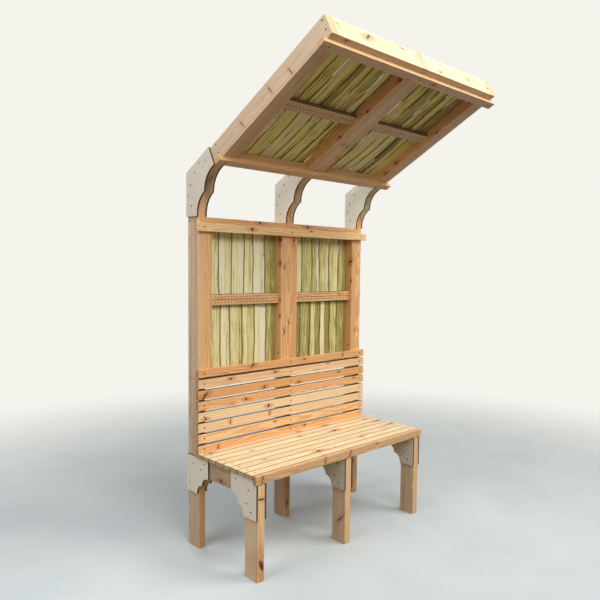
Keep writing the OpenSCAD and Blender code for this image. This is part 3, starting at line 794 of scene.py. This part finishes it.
# %% One lath
def lath_surface(i, end, edges, f, rng):
    """Points of one lath, len(f) by ROUND_STEPS by 3, its uv in mm, and each point's distance in mm from
    the edge that shows. The section is a loop, x = cos(t) to the power 0.55 and y = sin(t) to the power
    0.45, so it is a flattened oval; ridges run along it."""
    left, right = edges[i]
    bottom = TIMBER_T - GROOVE + END_GAP
    run = (PANEL_LEN - DRY_GAP) / 2 - bottom
    t = np.linspace(0, 2 * pi, ROUND_STEPS, endpoint=False)
    wide = np.sign(np.cos(t)) * np.abs(np.cos(t)) ** 0.55
    thick = np.sign(np.sin(t)) * np.abs(np.sin(t)) ** 0.45
    x = (left + right)[:, None] / 2 + (right - left)[:, None] / 2 * wide
    body = LATH_T / 2 * (0.84 + 0.12 * np.sin(2 * pi * (1.3 * f + rng.uniform()))[:, None])
    ridges = 0.22 * np.sin(x * 0.9 + 5 * rng.uniform()) * np.sin(x * 0.37 + 3 * f[:, None])
    y = body * thick + ridges * (np.abs(thick) > 0.6)
    layer = -(LATH_T + DRY_GAP) / 2 if i % 2 == 0 else (LATH_T + DRY_GAP) / 2
    z = bottom + run * f
    if end:
        z = PANEL_LEN - z
    z = np.broadcast_to(z[:, None], x.shape)
    points = np.stack([x, LATH_MID + layer + y, z], axis=2)
    uv = np.stack([x + 700 * rng.uniform(), z + 3000 * rng.uniform()], axis=2)
    # A lath of the rear layer measures from the edges of the front laths that lap over it, where the material
    # paints their shadow.
    if i % 2:
        left = edges[i - 1, 1]
        right = edges[i + 1, 0] if i + 1 < LATHS else right + 9
    inset = np.minimum(x - left[:, None], right[:, None] - x)
    return points, uv, inset


def tube_faces(steps, round_steps):
    """Quads between neighbouring loops, and one face over each end."""
    rows = np.arange(steps - 1)[:, None] * round_steps
    k = np.arange(round_steps)
    nxt = (k + 1) % round_steps
    quads = np.stack([rows + k, rows + nxt, rows + round_steps + nxt, rows + round_steps + k], axis=2)
    quads = quads.reshape(-1, 4)
    caps = [k[::-1], (steps - 1) * round_steps + k]
    return quads, caps


print("loops of", ROUND_STEPS, "points")

# %% [markdown]
# ## Lath panels
# The 24 laths of a panel become one mesh that stands in for the model's plain laths. Two numbers go with
# each point for the colour: the lath's tone, and the distance from its edge. The tones are listed one for
# each lath from left to right: paler below 0, darker and greener above 1.

# %% Lath panels
# On the roof the tones also paint light: a lath with a lower tone is paler and brighter.
LATH_TONES = {
    ("left_back", 1): (0.4, 0.1, 0.0, 0.35, 0.25, 0.0, 0.35, 0.3, -0.3, -0.9, 0.9, 1.1),
    ("left_back", 0): (0.7, 0.4, 0.2, 0.3, 0.5, 0.7, 0.4, 0.6, 0.3, -0.3, 0.9, 1.1),
    ("right_back", 1): (0.3, 0.2, 0.8, 0.7, 0.8, -0.3, 0.7, 0.2, 0.7, 0.4, 0.9, 1.1),
    ("right_back", 0): (1.3, 1.1, 0.9, 1.2, 0.5, 1.1, 0.3, 1.2, 0.8, 0.6, 1.1, 1.3),
    ("left_roof", 1): (0.6, 0.4, 0.6, 0.2, 0.0, 0.7, 1.1, 0.2, 0.6, 0.8, -1.2, 1.2),
    ("left_roof", 0): (0.2, -0.2, 0.0, 0.3, -0.2, -0.4, 0.1, 0.4, -0.1, 0.2, 0.5, 0.9),
    ("right_roof", 1): (1.0, 1.2, 0.6, 0.3, 0.9, 0.8, 0.4, 0.9, 0.5, 0.8, 1.1, 1.2),
    ("right_roof", 0): (1.2, 0.7, -0.6, -0.2, -0.4, 0.0, -0.2, 0.9, 1.3, 0.1, 0.3, 0.4),
}


def lath_panel(name):
    """One mesh of the 24 laths of a panel, with a uv map and the attributes tone and inset. The laths of the
    second half are mirrored, so the corners of their faces are taken in reverse and still face outwards."""
    rng = np.random.default_rng(int(SEEDS[name] * 100))
    verts, faces, uvs, tones, insets = [], [], [], [], []
    start = 0
    f = np.linspace(0, 1, LENGTH_STEPS)
    quads, caps = tube_faces(LENGTH_STEPS, ROUND_STEPS)
    for end in (0, 1):
        edges = field_edges(f, SEEDS[name] + end / 2, rng, "_roof" in name, BOWED.get((name, end), 0.0))
        for i in range(LATHS):
            points, uv, inset = lath_surface(i, end, edges, f, rng)
            verts.append(points.reshape(-1, 3))
            uvs.append(uv.reshape(-1, 2))
            tones.append(np.full(inset.size, LATH_TONES[name, end][i]))
            insets.append(inset.ravel())
            way = -1 if end else 1
            faces += (quads[:, ::way] + start).tolist() + [(cap[::way] + start).tolist() for cap in caps]
            start += inset.size
    points = to_place[name](np.concatenate(verts))
    mesh = bpy.data.meshes.new(name + "_riven")
    mesh.from_pydata(points.tolist(), [], faces)
    corner_vertex = np.empty(len(mesh.loops), dtype=np.int32)
    mesh.loops.foreach_get("vertex_index", corner_vertex)
    layer = mesh.uv_layers.new(name="grain")
    layer.data.foreach_set("uv", np.concatenate(uvs)[corner_vertex].astype(np.float32).ravel())
    for label, values in (("tone", tones), ("inset", insets)):
        mesh.attributes.new(label, "FLOAT", "POINT").data.foreach_set(
            "value", np.concatenate(values).astype(np.float32))
    mesh.shade_smooth()
    mesh.set_sharp_from_angle(angle=radians(50))
    piece = add_object(name + "_riven", mesh)
    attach(piece, "root")
    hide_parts(name + "_laths")
    return piece


lath_pieces = [lath_panel(name) for name in PANELS]
print("lath faces:", [len(p.data.polygons) for p in lath_pieces])

# %% [markdown]
# ## The laths' colour
# Riven wood dries to cream, straw and olive. Each lath takes its own place between those tones, long
# streaks run along the fibres, and its thin torn edge is darker and greener, partly its own colour and partly
# painted shade. A lath of the rear layer gets painted shadow where the front laths lap over it, and the
# roof's laths are brightened with painted light, the more the lower their tone. The streaks follow the uv
# map, because a lath bends and a pattern on Object coordinates wouldn't bend with it.

# %% Lath finish
ROUGH_LIMIT, SMOOTH_LIMIT = (BRIGHTEST, 0.88, 0.56), (BRIGHTEST, 0.89, 0.62)
ROUGH_BUMP_M, SMOOTH_BUMP_M = 0.0012, 0.0005


def lath_finish(rough):
    """Streaks on the uv map, in millimetres along and across the fibres. The roof's laths are rougher."""
    f = Finish("riven_lath_rough" if rough else "riven_lath")
    uv = f.node("ShaderNodeUVMap", {"uv_map": "grain"}, {})
    tone, inset = (f.node("ShaderNodeAttribute", {"attribute_name": label}, {}, "Fac")
                   for label in ("tone", "inset"))

    def fibres(across, along, detail=3.0, roughness=0.6):
        return f.noise(uv.vector("MULTIPLY", (across, along, 0.0)), detail, roughness)

    streak, fine = fibres(0.16, 0.006, 4.0), fibres(0.9, 0.02)
    blot, speck = fibres(0.05, 0.011, 2.0, 0.5), fibres(0.7, 0.08)
    if rough:
        pale = f.blend(colour(255, 250, 206), colour(250, 234, 150), tone.step(-1.2, 0.2))
        olive = f.blend(colour(222, 204, 112), colour(148, 130, 56), tone.step(0.0, 1.1))
    else:
        pale = f.blend(colour(252, 246, 210), colour(228, 218, 154), tone.step(-0.3, 0.8))
        olive = f.blend(colour(218, 208, 138), colour(154, 142, 72), tone.step(0.2, 1.2))
    share = (streak + (blot - 0.5) * 0.6 + (tone - 0.5) * 0.35).step(0.38, 0.74)
    base = f.blend(pale, olive, share)
    base = f.blend(base, colour(136, 112, 58), (fine + (streak - 0.5) * 0.5).step(0.6, 0.78) * 0.4)
    base = f.blend(base, colour(92, 76, 24), speck.step(0.52, 0.72) * (0.5 if rough else 0.12))
    split = (fibres(0.07, 0.0013, 1.0, 0.5) - 0.5).math("ABSOLUTE").step(0.016, 0.003)
    base = f.blend(base, colour(60, 46, 18), split * (0.85 if rough else 0.35))
    # The edge mask darkens the torn edge, partly its own colour and partly painted shade; on a lath of the
    # rear layer it paints the front laths' shadow.
    depth = streak * 2.4 + (1.4 if rough else 1.2)
    edge = (inset / depth).step(1.4, 0.3)
    base = f.blend(base, colour(70, 56, 20) if rough else colour(112, 98, 42), edge * 0.82)
    # On the roof this is painted light: the laths are brightened much more than in the back, the more the
    # lower their tone, for the light on the roof's underside.
    light = tone * (-0.4 if rough else -0.1) + (1.42 if rough else 1.14)
    base = f.shade(base, (fine - 0.5) * 0.4 + light)
    base = base.vector("MINIMUM", ROUGH_LIMIT if rough else SMOOTH_LIMIT)
    height = fine * 0.7 + streak * 0.6 - edge * 0.8 - split
    return f.close(base, fine * 0.2 + 0.5, height, ROUGH_BUMP_M if rough else SMOOTH_BUMP_M)


smooth_look, rough_look = lath_finish(False), lath_finish(True)
for name, piece in zip(PANELS, lath_pieces):
    piece.data.materials.append(rough_look if "_roof" in name else smooth_look)
print("lath finishes: smooth in the back, rough in the roof")

# %% [markdown]
# ## Nails in the middle rails
# The two strips of each middle rail are pinned to the laths with a row of small nails, about 20 mm apart.
# A ball sunk into the strip would do, but most of its faces would be hidden. A head is a shallow dome of
# two rings and a tip, with few faces, because there are many of them.

# %% Nails
NAIL_PITCH, NAIL_R, NAIL_RISE, NAIL_SUNK = 20.0, 3.2, 0.6, 0.05
NAIL_SIDES, NAIL_RINGS = 10, (1.0, 0.6)
NAIL_FROM_SIDE, NUDGE_ALONG, NUDGE_ASIDE, NAIL_SEED = 12, 1.2, 0.8, 7
STRIP_W, STRIP_T = 26.5, 20.0


def nail_head():
    """One dome about its middle: rise = NAIL_RISE times (1 - share squared), where share is the distance
    from the middle over the radius. Its faces are a wall of quads, a cap of triangles and a base."""
    sides = len(NAIL_RINGS) * NAIL_SIDES
    share = np.append(np.repeat(NAIL_RINGS, NAIL_SIDES), 0.0)
    angle = np.append(np.arange(sides) % NAIL_SIDES * (2 * pi / NAIL_SIDES), 0.0)
    rise = NAIL_RISE * (1 - share * share)
    x, z = share * NAIL_R * np.cos(angle), share * NAIL_R * np.sin(angle)
    points = np.stack([x, NAIL_SUNK - rise, z], axis=1)
    k = np.arange(NAIL_SIDES)
    following = (k + 1) % NAIL_SIDES
    wall = np.stack([k, following, NAIL_SIDES + following, NAIL_SIDES + k], axis=1)
    cap = np.stack([NAIL_SIDES + k, NAIL_SIDES + following, np.full(NAIL_SIDES, sides)], axis=1)
    return points, (wall, cap, k[None, ::-1])


def nail_panel(name):
    """Two rows of heads, each nudged a little: a head's points are the dome's plus the head's middle."""
    rng = np.random.default_rng(NAIL_SEED)
    x = np.arange(-FIELD_W / 2 + NAIL_FROM_SIDE, FIELD_W / 2 - NAIL_FROM_SIDE / 2, NAIL_PITCH)
    y = np.full(len(x), LATH_MID - LATH_T - DRY_GAP / 2 - STRIP_T)
    middles = []
    for row in (-1, 1):
        nudged = x + rng.uniform(-NUDGE_ALONG, NUDGE_ALONG, len(x))
        z = PANEL_LEN / 2 + row * STRIP_W / 2 + rng.uniform(-NUDGE_ASIDE, NUDGE_ASIDE, len(x))
        middles.append(np.stack([nudged, y, z], axis=1))
    middles = np.concatenate(middles)
    dome, kinds = nail_head()
    starts = np.arange(len(middles))[:, None, None] * len(dome)
    faces = [face for kind in kinds for face in (starts + kind).reshape(-1, kind.shape[1]).tolist()]
    points = to_place[name]((middles[:, None] + dome).reshape(-1, 3))
    mesh = bpy.data.meshes.new(name + "_nails")
    mesh.from_pydata(points.tolist(), [], faces)
    mesh.materials.append(iron)
    piece = add_object(name + "_nails", mesh)
    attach(piece, "root")
    return len(middles)


print("nails:", sum(nail_panel(name) for name in PANELS))

# %% [markdown]
# ## Floor
# The floor is a pale blue-grey sheet that takes the shadow. A backdrop with walls would end somewhere, so
# the sheet fades out at its rim, and no horizon draws a line behind the bench from any side. For light on
# its way to the bench the sheet is a warm brown, because a pale one would wash out the undersides.

# %% Floor
REACH_M, FADE_FROM_M, FADE_TO_M = 4.5, 1.7, 4.2


def seen_directly(f):
    """1 for a ray from the camera, off a gloss or through glass, and 0 for light on its way to the bench."""
    camera_ray, glossy, through_glass = (f.node("ShaderNodeLightPath", {}, {}, f"Is {kind} Ray")
                                         for kind in ("Camera", "Glossy", "Transmission"))
    return camera_ray.math("MAXIMUM", glossy).math("MAXIMUM", through_glass)


def floor_finish():
    """Pale paint with faint scuffs, which fades to nothing at the rim."""
    f = Finish("floor_paint")
    place = f.place()
    cloud, scuff = f.grainy(place, 1.6, 1.6, 4.0, 0.6), f.grainy(place, 9.0, 9.0, 5.0, 0.65)
    base = f.blend(colour(197, 205, 208), colour(206, 212, 213), cloud.step(0.35, 0.65))
    base = f.blend(base, colour(176, 186, 190), scuff.step(0.62, 0.8) * 0.5)
    distance = place.vector("MULTIPLY", (1.0, 1.0, 0.0)).vector("LENGTH", (0, 0, 0), "Value")
    seen = seen_directly(f)
    base = f.blend(colour(102, 89, 51), base, seen)
    solid = f.node("ShaderNodeBsdfPrincipled", {}, {"Base Color": base, "Roughness": 0.6})
    clear = f.node("ShaderNodeBsdfTransparent", {}, {})
    faded = distance.step(FADE_FROM_M, FADE_TO_M) * seen
    both = f.node("ShaderNodeMixShader", {}, {0: faded, 1: solid, 2: clear})
    f.node("ShaderNodeOutputMaterial", {}, {"Surface": both})
    return f.owner


floor_mesh = bpy.data.meshes.new("floor")
rim = [(-REACH_M, -REACH_M, 0), (REACH_M, -REACH_M, 0), (REACH_M, REACH_M, 0), (-REACH_M, REACH_M, 0)]
floor_mesh.from_pydata(rim, [], [(0, 1, 2, 3)])
floor_mesh.materials.append(floor_finish())
floor = add_object("floor", floor_mesh)
print("floor", 2 * REACH_M, "m wide")

# %% [markdown]
# ## Lamps
# Large square lamps give the soft shadows of a studio: two high in front, two on the left, a weak one on
# the right and one behind. A ring of small lamps would draw a hard shadow each.

# %% Lamps
LAMPS = {
    "key": ((-1.2, -3.4, 4.0), 0.7, 2.4, 125.0, (1.0, 0.98, 0.94)),
    "ceiling_right": ((1.8, -2.6, 5.0), 0.7, 2.4, 170.0, (1.0, 0.99, 0.96)),
    "ceiling_left": ((-3.4, 0.6, 4.6), 1.0, 2.6, 85.0, (0.92, 0.96, 1.0)),
    "window": ((-4.2, -0.6, 2.6), 1.0, 2.6, 42.0, (0.9, 0.95, 1.0)),
    "rear": ((0.0, 4.2, 4.0), 1.0, 3.0, 60.0, (1.0, 1.0, 1.0)),
    "right": ((3.8, -2.4, 2.6), 1.0, 2.6, 10.0, (1.0, 1.0, 1.0)),
}


def lamp(name, place, aim_height, size, power, tint):
    """A square area lamp at place that looks at the bench's middle at a height."""
    data = bpy.data.lights.new(name, "AREA")
    data.size = size
    data.energy = power
    data.color = tint
    lamp_object = add_object(name, data)
    lamp_object.location = place
    aim = Vector((0.0, 0.0, aim_height)) - Vector(place)
    lamp_object.rotation_euler = aim.to_track_quat("-Z", "Y").to_euler()


for name, settings in LAMPS.items():
    lamp(name, *settings)
print("lamps:", ", ".join(LAMPS))

# %% [markdown]
# ## World
# The world is seen as a pale ground, but lights the bench only faintly. One background for both would be
# simpler, but its even light would wash out the lamps' shading.

# %% World
FILL = 0.04
room = Finish("room", bpy.data.worlds.new("room"))
fill = room.node("ShaderNodeBackground", {}, {"Color": colour(255, 242, 214), "Strength": FILL})
ground = room.node("ShaderNodeBackground", {}, {"Color": colour(244, 243, 236), "Strength": 1.0})
either = room.node("ShaderNodeMixShader", {}, {0: seen_directly(room), 1: fill, 2: ground})
room.node("ShaderNodeOutputWorld", {}, {"Surface": either})
bpy.context.scene.world = room.owner
bpy.context.scene.view_settings.view_transform = "Standard"
print("world fill", FILL)
